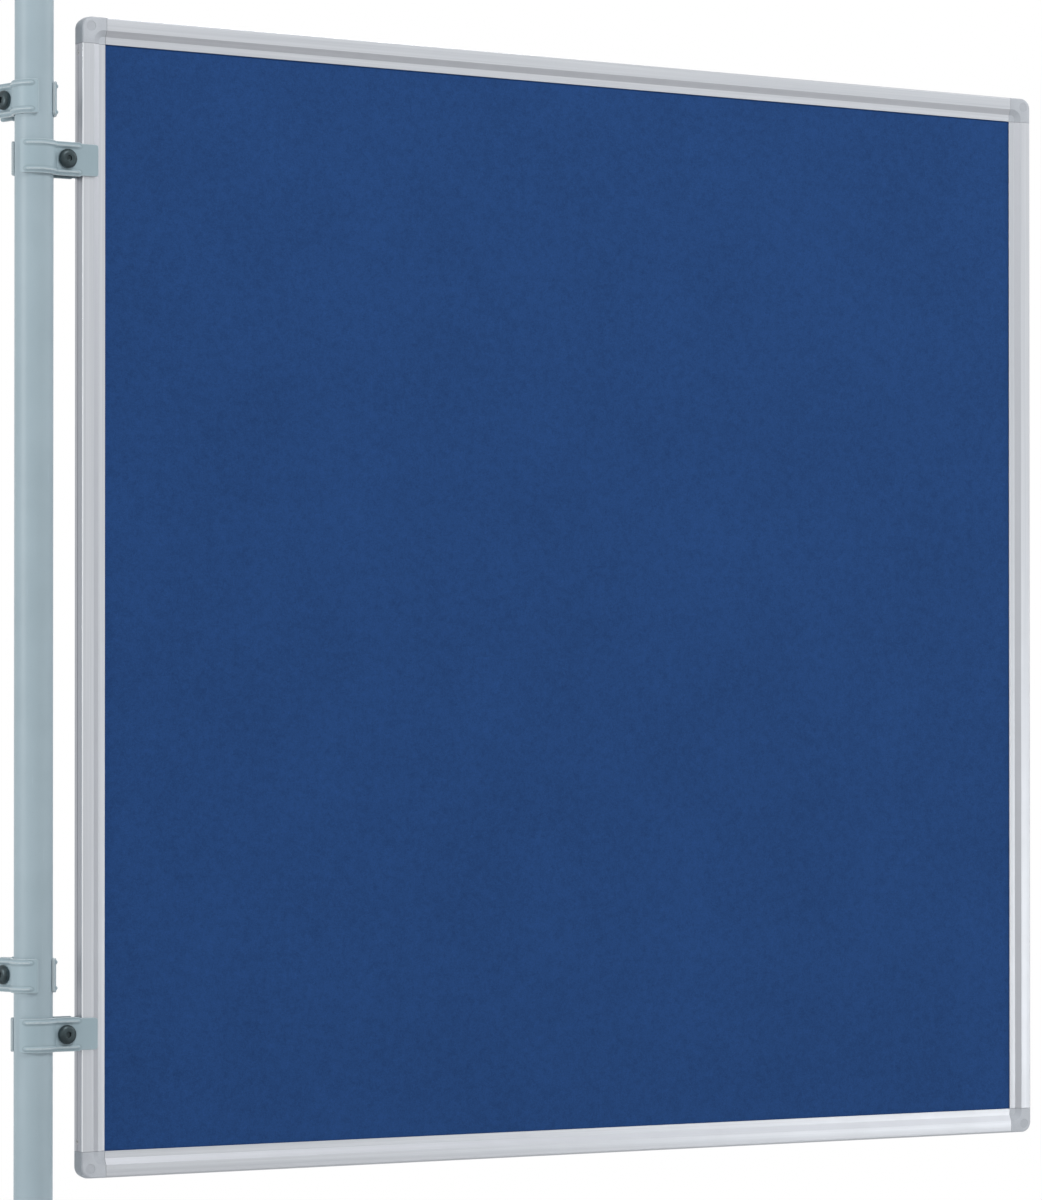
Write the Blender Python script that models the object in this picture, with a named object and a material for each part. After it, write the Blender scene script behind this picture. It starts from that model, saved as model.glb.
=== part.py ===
"""Presentation board on a round pole.

A square felt panel sits in an aluminium frame with plastic corners. Two-part pressed clamps
hold the frame to a round steel pole, and two more clamps higher up on the pole wait for the
next board. Metres, +Z up: the origin is the bottom centre of the pole, the board hangs along
+X and its front faces -Y.
"""

from math import atan2, cos, pi, radians, sin, sqrt

import bmesh
import bpy
import numpy as np
from mathutils import Matrix

# Fits and cuts
GAP = 0.0003  # left between pieces that touch
OVERRUN = 0.004  # how far a cutter runs past what it cuts

# Pole, with its push-in ends
POLE_HEIGHT = 1.800
POLE_DIAMETER = 0.040
POLE_WALL = 0.0015
END_FLANGE = 0.003
END_CROWN = 0.0025
SPIGOT_LENGTH = 0.025
SPIGOT_WALL = 0.002
SPIGOT_LEAD = 0.001

# Board
BOARD_WIDTH = 1.200
BOARD_HEIGHT = 1.200
BOARD_DROP = 0.050  # pole's top to the frame's upper edge
BOARD_SPACE = 0.029  # pole to the frame's edge
CORE_THICKNESS = 0.006
FELT_THICKNESS = 0.0015

# Frame section, from its outer edge inwards: rim, bevel, lip
FRAME_DEPTH = 0.020
FRAME_WALL = 0.0015
RIM_WIDTH = 0.014
EDGE_RADIUS = 0.002
BEVEL_WIDTH = 0.0065
LIP_WIDTH = 0.0075
LIP_THICKNESS = 0.0014
LIP_ROUND = 0.0005
SIDE_BOW = 0.0006
SIDE_GROOVE_WIDTH = 0.001
SIDE_GROOVE_DEPTH = 0.0005
PANEL_FLOAT = 0.0025  # space left at the panel's edge, inside the frame

# Corner pieces and the screws that hold their legs
CORNER_RADIUS = 0.0115
BEVEL_RADIUS = 0.011  # the bevel's outer edge, where it turns
DISC_RADIUS = 0.0053
DISC_DEPTH = 0.0003
DISC_PLACE = 0.0105  # the sunk disc's middle from both outer edges
LEG_LENGTH = 0.024
LEG_SCREW_PLACE = 0.010  # along the leg, from the corner's joint face
LEG_SCREW_RADIUS = 0.0016
LEG_SCREW_LENGTH = 0.008
LEG_SCREW_HEAD_RADIUS = 0.0029
LEG_SCREW_HEAD_DEPTH = 0.0011
LEG_SCREW_SINK = 0.0003  # the head's face below the rail's side

# Clamps
CLAMP_INSET = 0.150  # frame's upper or lower edge to the clamp's middle
SPARE_RISE = 0.061  # a board clamp's middle to the spare clamp's
SPARE_ANGLE = radians(107)  # from the board's direction, seen from above
SHEET = 0.003
JAW_GRIP = 0.0175  # length of jaw on the frame
NECK_RADIUS = 0.005
FREE_END_ANGLE = radians(62)  # how far the saddle wraps past the pole's front
TAB_SHOULDER = 0.001
SHOULDER_RUN = 0.002
CLAMP_CORNER = 0.003
BEAD_WIDTH = 0.0056
BEAD_HEIGHT = 0.0015
BEAD_RUNOUT = 0.004
BEAD_START = 0.006  # from the saddle's free end
BEAD_MARGIN = 0.0014  # bead's foot to the sheet's edge
BEAD_FLANK_SHARE = 0.34
SEAT_CLEAR = 0.0005  # round the screw's head and the nut

# Clamp screw and nut
SCREW_DIAMETER = 0.010
SCREW_LENGTH = 0.040
SCREW_POINT = 0.001
HEAD_DIAMETER = 0.020
HEAD_HEIGHT = 0.0055
HEAD_RIM = 0.0012
HEAD_TOP_DIAMETER = 0.009
SOCKET_WIDTH = 0.006
SOCKET_DEPTH = 0.0031
HOLE_CLEAR = 0.0005
NUT_WIDTH = 0.016
NUT_HEIGHT = 0.008

# Facets
POLE_SIDES = 48
END_SIDES = 32
SCREW_SIDES = 20
HOLE_SIDES = 16
LEG_SCREW_SIDES = 10
ROUND_STEPS = 4
DISC_SIDES = 20
CORNER_STEPS = 10
SADDLE_STEPS = 8
NECK_STEPS = 4
DOME_STEPS = 4
SMOOTH_ANGLE = radians(26)

# Sizes that follow from those above
pole_radius = POLE_DIAMETER / 2
frame_half = FRAME_DEPTH / 2
bevel_end = RIM_WIDTH + BEVEL_WIDTH
frame_face = bevel_end + LIP_WIDTH
panel_half = CORE_THICKNESS / 2 + GAP + FELT_THICKNESS
slot_half = panel_half + GAP
lip_face = slot_half + LIP_THICKNESS
panel_inset = RIM_WIDTH + PANEL_FLOAT
board_left = pole_radius + BOARD_SPACE
board_right = board_left + BOARD_WIDTH
board_top = POLE_HEIGHT - BOARD_DROP
board_lift = board_top - BOARD_HEIGHT
chamber_near = SIDE_GROOVE_DEPTH + FRAME_WALL
chamber_far = RIM_WIDTH - FRAME_WALL
chamber_half = frame_half - FRAME_WALL
leg_screw_place = frame_face + LEG_SCREW_PLACE

saddle_radius = pole_radius + GAP + SHEET / 2
jaw_face = frame_half + GAP
jaw_middle = jaw_face + SHEET / 2
jaw_outside = jaw_face + SHEET
neck_depth = jaw_middle + NECK_RADIUS
neck_place = sqrt((saddle_radius + NECK_RADIUS) ** 2 - neck_depth**2)
neck_angle = atan2(neck_place, neck_depth)
nut_corner = NUT_WIDTH / 2 / cos(pi / 6)
seat_radius = max(HEAD_DIAMETER / 2, nut_corner) + SEAT_CLEAR
screw_place = neck_place + seat_radius
bead_end = screw_place + seat_radius + BEAD_RUNOUT
jaw_end = board_left + JAW_GRIP
clamp_half = seat_radius + BEAD_WIDTH + BEAD_MARGIN


# Scene and material helpers


def clear_scene():
    for obj in list(bpy.data.objects):
        bpy.data.objects.remove(obj)


def linear(channel):
    share = channel / 255
    return share / 12.92 if share <= 0.04045 else ((share + 0.055) / 1.055) ** 2.4


def material(name, red, green, blue, roughness, metallic=0.0):
    made = bpy.data.materials.new(name)
    made.use_nodes = True
    shader = made.node_tree.nodes["Principled BSDF"]
    shader.inputs["Base Color"].default_value = (linear(red), linear(green), linear(blue), 1)
    shader.inputs["Roughness"].default_value = roughness
    shader.inputs["Metallic"].default_value = metallic
    return made


def pivot(name, location, rotation=(0, 0, 0), parent=None):
    empty = bpy.data.objects.new(name, None)
    bpy.context.scene.collection.objects.link(empty)
    empty.location = location
    empty.rotation_euler = rotation
    empty.parent = parent
    return empty


def place(name, mesh, look, parent=None, location=(0, 0, 0), rotation=(0, 0, 0)):
    obj = bpy.data.objects.new(name, mesh)
    bpy.context.scene.collection.objects.link(obj)
    if not mesh.materials:
        mesh.materials.append(look)
    obj.location = location
    obj.rotation_euler = rotation
    obj.parent = parent
    return obj


# Mesh helpers


def finished(name, bm):
    bmesh.ops.recalc_face_normals(bm, faces=bm.faces)
    mesh = bpy.data.meshes.new(name)
    bm.to_mesh(mesh)
    bm.free()
    mesh.shade_smooth()
    mesh.set_sharp_from_angle(angle=SMOOTH_ANGLE)
    return mesh


def arc(centre, radii, start, end, steps):
    """Points on an ellipse's arc about centre, from angle start to end."""
    angles = np.linspace(start, end, steps + 1)
    return [(centre[0] + radii[0] * cos(a), centre[1] + radii[1] * sin(a)) for a in angles]


def ring(radius, sides):
    angles = [2 * pi * i / sides for i in range(sides)]
    return [(radius * cos(a), radius * sin(a)) for a in angles]


def prism(name, outlines, bottom, top):
    """Outlines in XY, the first round the others, drawn up from bottom to top."""
    bm = bmesh.new()
    rims = []
    for outline in outlines:
        low = [bm.verts.new((x, y, bottom)) for x, y in outline]
        high = [bm.verts.new((x, y, top)) for x, y in outline]
        for i in range(len(outline)):
            j = (i + 1) % len(outline)
            bm.faces.new((low[i], low[j], high[j], high[i]))
        rims.append((low, high))
    for level in (0, 1):
        edges = []
        for rim in rims:
            loop = rim[level]
            edges += [bm.edges.get((loop[i - 1], loop[i])) for i in range(len(loop))]
        bmesh.ops.triangle_fill(bm, use_beauty=True, use_dissolve=False, edges=edges)
    return finished(name, bm)


def box(name, low, high):
    (x0, y0, z0), (x1, y1, z1) = low, high
    return prism(name, [[(x0, y0), (x1, y0), (x1, y1), (x0, y1)]], z0, z1)


def lathe(name, profile, sides):
    """Profile of (radius, height) points turned about Z. A radius of zero closes an end."""
    bm = bmesh.new()
    rings = []
    for radius, height in profile:
        if radius == 0:
            rings.append([bm.verts.new((0, 0, height))] * sides)
        else:
            rings.append([bm.verts.new((x, y, height)) for x, y in ring(radius, sides)])
    closed = profile[0][0] != 0
    for low, high in zip(rings, rings[1:] + rings[:1] if closed else rings[1:]):
        for i in range(sides):
            j = (i + 1) % sides
            corners = dict.fromkeys((low[i], low[j], high[j], high[i]))
            bm.faces.new(tuple(corners))
    return finished(name, bm)


def turned(mesh, rotation, location=(0, 0, 0)):
    """The mesh as it lies after the given rotation and move."""
    obj = place(mesh.name, mesh, None, rotation=rotation, location=location)
    bpy.context.view_layer.update()
    mesh.transform(obj.matrix_world)
    bpy.data.objects.remove(obj)
    mesh.materials.clear()
    return mesh


def swap_x_and_z(mesh):
    """Mirrors the mesh in the plane x = z, which its faces are turned round for."""
    mesh.transform(Matrix(((0, 0, 1), (0, 1, 0), (1, 0, 0))).to_4x4())
    mesh.flip_normals()


def combined(mesh, others, operation):
    """The mesh after a Boolean with each of the others."""
    base = bpy.data.objects.new(mesh.name, mesh)
    bpy.context.scene.collection.objects.link(base)
    helpers = []
    for other in others:
        helper = bpy.data.objects.new(other.name, other)
        bpy.context.scene.collection.objects.link(helper)
        helpers.append(helper)
        step = base.modifiers.new(other.name, "BOOLEAN")
        step.operation = operation
        step.object = helper
    graph = bpy.context.evaluated_depsgraph_get()
    result = bpy.data.meshes.new_from_object(base.evaluated_get(graph))
    for obj in [base] + helpers:
        bpy.data.objects.remove(obj)
    result.name = mesh.name
    result.materials.clear()
    result.shade_smooth()
    result.set_sharp_from_angle(angle=SMOOTH_ANGLE)
    return result


# Pole


def spigot_profile():
    """Inner and outer wall of a push-in end, above its flange."""
    outside = pole_radius - POLE_WALL - GAP
    inside = outside - SPIGOT_WALL
    reach = END_FLANGE + SPIGOT_LENGTH
    return [
        (inside, END_FLANGE),
        (inside, reach),
        (outside - SPIGOT_LEAD, reach),
        (outside, reach - SPIGOT_LEAD),
        (outside, END_FLANGE),
        (pole_radius, END_FLANGE),
    ]


def make_pole(paint, plastic):
    outer = ring(pole_radius, POLE_SIDES)
    inner = ring(pole_radius - POLE_WALL, POLE_SIDES)
    flat = END_FLANGE + GAP
    tube = prism("pole_tube", [outer, inner], flat, POLE_HEIGHT - END_CROWN - flat)
    place("pole_tube", tube, paint)

    foot = [(0, END_FLANGE)] + spigot_profile() + [(pole_radius, 0), (0, 0)]
    place("pole_foot_plug", lathe("pole_foot_plug", foot, END_SIDES), plastic)

    crown = arc((0, 0), (pole_radius, -END_CROWN), 0, pi / 2, DOME_STEPS)[:-1]
    cap = [(0, END_FLANGE)] + spigot_profile() + crown + [(0, -END_CROWN)]
    top = POLE_HEIGHT - END_CROWN
    cap_mesh = lathe("pole_top_cap", cap, END_SIDES)
    place("pole_top_cap", cap_mesh, plastic, location=(0, 0, top), rotation=(pi, 0, 0))


# Frame


def rim_outline():
    """From the side's middle over the edge and the rim down the bevel to the lip."""
    edge_centre = (SIDE_BOW + EDGE_RADIUS, frame_half - EDGE_RADIUS)
    edge = arc(edge_centre, (EDGE_RADIUS, EDGE_RADIUS), pi, pi / 2, ROUND_STEPS)
    return edge + [(RIM_WIDTH, frame_half), (bevel_end, lip_face)]


def rail_mesh(name, length):
    """A rail along +X: its section's inward side is +Z and its front -Y."""
    groove = SIDE_GROOVE_WIDTH / 2
    half = [(SIDE_GROOVE_DEPTH, groove), (0, groove)] + rim_outline()
    half += [(frame_face - LIP_ROUND, lip_face), (frame_face, lip_face - LIP_ROUND)]
    half += [(frame_face, slot_half), (RIM_WIDTH, slot_half)]
    section = half + [(u, -v) for u, v in reversed(half)]
    chamber = [(chamber_near, chamber_half), (chamber_far, chamber_half)]
    chamber += [(u, -v) for u, v in reversed(chamber)]
    joint = frame_face + GAP
    rail = prism(name, [section, chamber], joint, length - joint)
    swap_x_and_z(rail)
    holes = [leg_screw_hole(x) for x in (leg_screw_place, length - leg_screw_place)]
    return combined(rail, holes, "DIFFERENCE")


def leg_screw_profile(spare, start):
    """Half section of the countersunk screw, which goes in along +Z from the rail's side.

    It is wider by the spare all round, and its face lies at the start.
    """
    head, shank = LEG_SCREW_HEAD_RADIUS + spare, LEG_SCREW_RADIUS + spare
    end = LEG_SCREW_LENGTH + spare
    cone = LEG_SCREW_SINK + LEG_SCREW_HEAD_DEPTH
    return [(0, end), (shank, end), (shank, cone), (head, LEG_SCREW_SINK), (head, start), (0, start)]


def leg_screw_hole(x):
    """Cutter of the leg screw's hole, into a rail that runs along +X."""
    hole = lathe("leg_screw_hole", leg_screw_profile(GAP, -OVERRUN), LEG_SCREW_SIDES)
    return turned(hole, (0, 0, 0), (x, 0, 0))


def corner_mesh():
    """Corner piece, its outer corner at the origin and its legs along +X and +Z.

    The rail's section turns about the inner corner. Each of its points follows a square with
    one round corner, and that rounding grows from the lip out to the side.
    """
    outline = [(0, 0)] + rim_outline()
    section = list(reversed(outline)) + [(u, -v) for u, v in outline[1:]]
    depths = (0, RIM_WIDTH, bevel_end)
    roundings = (CORNER_RADIUS, BEVEL_RADIUS, BEVEL_RADIUS - BEVEL_WIDTH)

    def reach_at(depth, angle):
        """Inner corner to the rounded square at that depth in the section."""
        along, across = cos(angle), sin(angle)
        rounding = np.interp(depth, depths, roundings)
        centre = frame_face - depth - rounding
        straight = (frame_face - depth) / max(along, across)
        if straight * min(along, across) <= centre:
            return straight
        middle = centre * (along + across)
        return middle + sqrt(middle**2 - 2 * centre**2 + rounding**2)

    bm = bmesh.new()
    front = bm.verts.new((frame_face, -lip_face, frame_face))
    back = bm.verts.new((frame_face, lip_face, frame_face))
    rows = []
    for angle in np.linspace(0, pi / 2, CORNER_STEPS + 1):
        row = []
        for u, v in section:
            reach = reach_at(u, angle)
            x = frame_face - reach * cos(angle)
            z = frame_face - reach * sin(angle)
            row.append(bm.verts.new((x, -v, z)))
        rows.append(row)
    for one, two in zip(rows, rows[1:]):
        bm.faces.new((front, one[0], two[0]))
        bm.faces.new((back, two[-1], one[-1]))
        for j in range(len(section) - 1):
            bm.faces.new((one[j], one[j + 1], two[j + 1], two[j]))
    bm.faces.new([front, back] + rows[0][::-1])
    bm.faces.new([back, front] + rows[-1])
    block = finished("corner", bm)

    leg_near, leg_far = chamber_near + GAP, chamber_far - GAP
    leg_half = chamber_half - GAP
    start, end = RIM_WIDTH, frame_face + LEG_LENGTH
    along_x = box("leg_x", (start, -leg_half, leg_near), (end, leg_half, leg_far))
    along_z = box("leg_z", (leg_near, -leg_half, start), (leg_far, leg_half, end))
    body = combined(block, [along_x, along_z], "UNION")

    near, far = panel_inset - GAP, frame_face + OVERRUN
    seat = box("panel_seat", (near, -slot_half, near), (far, slot_half, far))
    hole_x = leg_screw_hole(leg_screw_place)
    hole_z = leg_screw_hole(leg_screw_place)
    swap_x_and_z(hole_z)
    cutters = [seat, hole_x, hole_z]
    for facing in (1, -1):
        disc = prism("disc", [ring(DISC_RADIUS, DISC_SIDES)], -DISC_DEPTH, OVERRUN)
        middle = (DISC_PLACE, -facing * frame_half, DISC_PLACE)
        cutters.append(turned(disc, (facing * pi / 2, 0, 0), middle))
    return combined(body, cutters, "DIFFERENCE")


def leg_screw_mesh():
    """Countersunk screw that goes in along +Z from a rail's side at zero."""
    profile = leg_screw_profile(0, LEG_SCREW_SINK)
    profile.pop(-2)
    return lathe("leg_screw", profile, LEG_SCREW_SIDES)


def make_frame(swing, aluminium, plastic, steel):
    """Four rails and four corners, each side turned a quarter from the last."""
    sides = [
        ("bottom_rail", "bottom_left", (board_left, 0, board_lift), 0, BOARD_WIDTH),
        ("right_stile", "bottom_right", (board_right, 0, board_lift), -pi / 2, BOARD_HEIGHT),
        ("top_rail", "top_right", (board_right, 0, board_top), pi, BOARD_WIDTH),
        ("left_stile", "top_left", (board_left, 0, board_top), pi / 2, BOARD_HEIGHT),
    ]
    corner, screw = corner_mesh(), leg_screw_mesh()
    for side, corner_name, location, turn, length in sides:
        start = pivot(f"{side}_start", location, (0, turn, 0), swing)
        place(side, rail_mesh(side, length), aluminium, start)
        place(f"corner_{corner_name}", corner, plastic, start)
        for end, along in (("first", leg_screw_place), ("last", length - leg_screw_place)):
            place(f"{side}_{end}_screw", screw, steel, start, (along, 0, 0))


# Panel


def make_panel(swing, board, felt):
    left, right = board_left + panel_inset, board_right - panel_inset
    low, high = board_lift + panel_inset, board_top - panel_inset
    core_half = CORE_THICKNESS / 2
    near, far = core_half + GAP, panel_half
    core = box("board_core", (left, -core_half, low), (right, core_half, high))
    front = box("front_felt", (left, -far, low), (right, -near, high))
    back = box("back_felt", (left, near, low), (right, far, high))
    place("board_core", core, board, swing)
    place("front_felt", front, felt, swing)
    place("back_felt", back, felt, swing)


# Clamps


def strap_stations():
    """The pressing's path in plan, from the saddle's free end to the jaw's tip.

    Each station gives the middle surface's x and y, the angle of its outward normal from -Y,
    the sheet's half height and how far the beads have risen there, from 0 to 1.
    """
    stations = []

    def add(x, y, normal, rise, half=clamp_half):
        stations.append((x, y, normal, half, rise))

    risen = BEAD_START + BEAD_RUNOUT
    for run, rise in ((0, 0), (BEAD_START / 2, 0), (BEAD_START, 0), (risen, 1)):
        a = run / saddle_radius - FREE_END_ANGLE
        add(saddle_radius * sin(a), -saddle_radius * cos(a), a, rise)
    start = risen / saddle_radius - FREE_END_ANGLE
    for a in np.linspace(start, neck_angle, SADDLE_STEPS + 1)[1:]:
        add(saddle_radius * sin(a), -saddle_radius * cos(a), a, 1)
    for a in np.linspace(neck_angle, 0, NECK_STEPS + 1)[1:]:
        x = neck_place - NECK_RADIUS * sin(a)
        add(x, NECK_RADIUS * cos(a) - neck_depth, a, 1)
    tab_half = clamp_half - TAB_SHOULDER
    add(bead_end - BEAD_RUNOUT, -jaw_middle, 0, 1)
    add(bead_end, -jaw_middle, 0, 0)
    add(bead_end + SHOULDER_RUN, -jaw_middle, 0, 0, tab_half)
    add(jaw_end, -jaw_middle, 0, 0, tab_half)
    return stations


def strap_rows(half):
    """Heights of the sheet's rows and the share of the bead's height at each."""
    flank = BEAD_WIDTH * BEAD_FLANK_SHARE
    inner, outer = seat_radius, seat_radius + BEAD_WIDTH
    upper = [(half, 0), (outer, 0), (outer - flank, 1), (inner + flank, 1), (inner, 0)]
    return upper + [(-z, rise) for z, rise in reversed(upper)]


def corner_nick(x, half):
    """Cutter that rounds the sheet's two corners where it ends at x, seen along Z."""
    far = x + OVERRUN
    nicks = []
    for side in (1, -1):
        centre = (x - CLAMP_CORNER, side * (half - CLAMP_CORNER))
        rounding = arc(centre, (CLAMP_CORNER, side * CLAMP_CORNER), pi / 2, 0, ROUND_STEPS)
        out = side * (half + OVERRUN)
        outline = rounding + [(far, rounding[-1][1]), (far, out), (rounding[0][0], out)]
        nicks.append(prism("nick", [outline], -2 * SHEET, 2 * SHEET))
    return nicks


def clamp_half_mesh():
    """One pressing: saddle round the pole, neck, and jaw on the frame, with two beads.

    Both faces of the sheet follow the beads, so they show as grooves inside.
    """
    bm = bmesh.new()
    faces = []
    stations = strap_stations()
    for offset in (SHEET / 2, -SHEET / 2):
        grid = []
        for x, y, normal, half, rise in stations:
            row = []
            for z, share in strap_rows(half):
                out = offset + BEAD_HEIGHT * share * rise
                row.append(bm.verts.new((x + out * sin(normal), y - out * cos(normal), z)))
            grid.append(row)
        faces.append(grid)
    outer, inner = faces
    last = len(outer[0]) - 1
    for i in range(len(stations) - 1):
        for j in range(last):
            for grid in faces:
                a, b, c, d = grid[i][j], grid[i + 1][j], grid[i + 1][j + 1], grid[i][j + 1]
                bm.faces.new((a, b, c, d))
        for j in (0, last):
            bm.faces.new((outer[i][j], outer[i + 1][j], inner[i + 1][j], inner[i][j]))
    for i in (0, -1):
        for j in range(last):
            bm.faces.new((outer[i][j], outer[i][j + 1], inner[i][j + 1], inner[i][j]))
    strap = finished("clamp_half", bm)

    hole_radius = SCREW_DIAMETER / 2 + HOLE_CLEAR
    hole = prism("hole", [ring(hole_radius, HOLE_SIDES)], -2 * SHEET, 2 * SHEET)
    # The cutters are drawn in the jaw's plane and then stood up against the sheet.
    upright = (pi / 2, 0, 0)
    cutters = [turned(hole, upright, (screw_place, -jaw_middle, 0))]
    for nick in corner_nick(jaw_end, clamp_half - TAB_SHOULDER):
        cutters.append(turned(nick, upright, (0, -jaw_middle, 0)))
    for nick in corner_nick(0, clamp_half):
        end = -FREE_END_ANGLE
        at = (saddle_radius * sin(end), -saddle_radius * cos(end), 0)
        cutters.append(turned(nick, (pi / 2, 0, pi + end), at))
    return combined(strap, cutters, "DIFFERENCE")


def clamp_screw_mesh():
    """Button-head screw with a hex socket. Its head stands on +Z, its seat is at zero."""
    shank = SCREW_DIAMETER / 2
    head, top = HEAD_DIAMETER / 2, HEAD_TOP_DIAMETER / 2
    rise = HEAD_HEIGHT - HEAD_RIM
    dome = arc((top, HEAD_RIM), (head - top, rise), 0, pi / 2, DOME_STEPS)
    profile = [(0, -SCREW_LENGTH), (shank - SCREW_POINT, -SCREW_LENGTH)]
    profile += [(shank, SCREW_POINT - SCREW_LENGTH), (shank, 0), (head, 0)]
    profile += dome + [(0, HEAD_HEIGHT)]
    body = lathe("clamp_screw", profile, SCREW_SIDES)
    hexagon = ring(SOCKET_WIDTH / 2 / cos(pi / 6), 6)
    floor, above = HEAD_HEIGHT - SOCKET_DEPTH, HEAD_HEIGHT + OVERRUN
    socket = prism("socket", [hexagon], floor, above)
    return combined(body, [socket], "DIFFERENCE")


def nut_mesh():
    """Hex nut standing on Z = 0, two of its flats facing up and down the pole."""
    outside = ring(nut_corner, 6)
    bore = ring(SCREW_DIAMETER / 2 + GAP, SCREW_SIDES)
    return prism("clamp_nut", [outside, bore], 0, NUT_HEIGHT)


def make_clamps(swing, paint, black, zinc):
    """Two clamps on the board and two spare ones, which are the same parts turned over."""
    half, screw, nut = clamp_half_mesh(), clamp_screw_mesh(), nut_mesh()
    lower = board_lift + CLAMP_INSET
    upper = board_top - CLAMP_INSET
    clamps = [
        ("lower_clamp", lower, (0, 0, 0), swing),
        ("upper_clamp", upper, (0, 0, 0), swing),
        ("lower_spare", lower + SPARE_RISE, (pi, 0, SPARE_ANGLE), None),
        ("upper_spare", upper + SPARE_RISE, (pi, 0, SPARE_ANGLE), None),
    ]
    seat = jaw_outside + GAP
    for name, height, turn, parent in clamps:
        hub = pivot(f"{name}_pivot", (0, 0, height), turn, parent)
        place(f"{name}_front", half, paint, hub)
        place(f"{name}_back", half, paint, hub, rotation=(pi, 0, 0))
        at_front, at_back = (screw_place, -seat, 0), (screw_place, seat, 0)
        place(f"{name}_screw", screw, black, hub, at_front, (pi / 2, 0, 0))
        place(f"{name}_nut", nut, zinc, hub, at_back, (-pi / 2, 0, 0))


clear_scene()
swing = pivot("board_pivot", (0, 0, 0))
make_pole(material("pole_paint", 160, 176, 184, 0.42), material("end_plastic", 60, 66, 72, 0.5))
make_frame(
    swing,
    material("frame_aluminium", 200, 205, 210, 0.35, 0.9),
    material("corner_plastic", 178, 183, 188, 0.5),
    material("corner_screw_steel", 205, 205, 205, 0.35, 1.0),
)
make_panel(
    swing,
    material("softboard", 168, 134, 96, 0.9),
    material("felt", 38, 70, 130, 0.95),
)
make_clamps(
    swing,
    material("clamp_paint", 160, 178, 184, 0.42),
    material("black_steel", 48, 62, 68, 0.35, 0.4),
    material("zinc_steel", 190, 190, 186, 0.35, 1.0),
)
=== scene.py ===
"""Looks of the presentation board, from the pole outwards in the order it is put together.

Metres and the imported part's own frame: the pole stands on the origin, the board runs along +X
and its front faces -Y.
"""

from math import pi, radians, sqrt, tan

import bmesh
import bpy
import numpy as np
from mathutils import Matrix
from mathutils.geometry import tessellate_polygon


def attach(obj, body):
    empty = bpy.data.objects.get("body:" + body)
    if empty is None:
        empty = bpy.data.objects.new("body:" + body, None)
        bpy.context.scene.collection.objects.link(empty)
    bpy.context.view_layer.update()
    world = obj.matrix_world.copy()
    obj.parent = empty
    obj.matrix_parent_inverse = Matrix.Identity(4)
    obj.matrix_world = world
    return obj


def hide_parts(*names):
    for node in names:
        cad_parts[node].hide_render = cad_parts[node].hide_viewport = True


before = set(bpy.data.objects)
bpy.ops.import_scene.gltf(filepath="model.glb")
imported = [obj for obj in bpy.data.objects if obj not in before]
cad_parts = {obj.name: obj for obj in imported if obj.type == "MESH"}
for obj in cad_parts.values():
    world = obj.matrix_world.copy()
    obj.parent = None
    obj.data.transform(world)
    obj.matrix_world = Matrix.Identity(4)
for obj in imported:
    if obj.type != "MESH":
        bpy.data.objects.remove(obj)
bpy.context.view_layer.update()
scene = bpy.context.scene


# Studio
# A plain pale floor in white surroundings, and five soft lamps: the main one above the front,
# one on each side, a low one at the front right and one behind. The camera stands where the
# photograph's did, worked out from the frame's and the felt's corners.


class Shade:
    """One output in a sheet of shader nodes. Sums and products of shades add Math nodes."""

    def __init__(self, tree, socket=None):
        self.tree = tree
        self.socket = socket

    def node(self, kind, settings, sockets, output=0):
        """Any other node: its settings first, then the values or links of its sockets."""
        made = self.tree.nodes.new(kind)
        for name, value in settings.items():
            setattr(made, name, value)
        for name, value in sockets.items():
            if isinstance(value, Shade):
                self.tree.links.new(value.socket, made.inputs[name])
            else:
                made.inputs[name].default_value = value
        return Shade(self.tree, made.outputs[output])

    def math(self, operation, *values):
        """A Math node of these values in their order."""
        sockets = dict(enumerate(values))
        return self.node("ShaderNodeMath", {"operation": operation}, sockets)

    def __add__(self, other):
        return self.math("ADD", self, other)

    def __radd__(self, other):
        return self.math("ADD", other, self)

    def __sub__(self, other):
        return self.math("SUBTRACT", self, other)

    def __rsub__(self, other):
        return self.math("SUBTRACT", other, self)

    def __mul__(self, other):
        return self.math("MULTIPLY", self, other)

    def __rmul__(self, other):
        return self.math("MULTIPLY", other, self)

    def either(self, other):
        """The larger of two shades."""
        return self.math("MAXIMUM", self, other)

    def looked_at(self):
        """1 where the camera looks, straight, in a mirror or through glass, and 0 for light."""
        rays = self.node("ShaderNodeLightPath", {}, {}, "Is Camera Ray")
        for kind in ("Is Glossy Ray", "Is Transmission Ray"):
            rays = rays.either(self.node("ShaderNodeLightPath", {}, {}, kind))
        return rays

    def rising(self, low, high):
        """0 below low, 1 above high, and a smooth step between them."""
        sockets = {0: self, 1: low, 2: high}
        return self.node("ShaderNodeMapRange", {"interpolation_type": "SMOOTHSTEP"}, sockets)

    def between(self, one, two):
        """Colour one where this shade is 0 and colour two where it is 1."""
        sockets = {0: self, 6: one, 7: two}
        return self.node("ShaderNodeMix", {"data_type": "RGBA"}, sockets, 2)

    def grains(self, scale, detail=2.0, roughness=0.5, distortion=0.0):
        """Noise read at this place, with so many grains to a metre."""
        sockets = {"Vector": self, "Scale": scale, "Detail": detail}
        sockets.update({"Roughness": roughness, "Distortion": distortion})
        return self.node("ShaderNodeTexNoise", {}, sockets)

    def stretched(self, scale, turn=(0, 0, 0)):
        """This place, drawn out or turned."""
        sockets = {"Vector": self, "Scale": scale, "Rotation": turn}
        return self.node("ShaderNodeMapping", {}, sockets)

    def marked(self, mark):
        """A number that a piece keeps at its points under this name."""
        return self.node("ShaderNodeAttribute", {"attribute_name": mark}, {}, "Fac")


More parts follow.
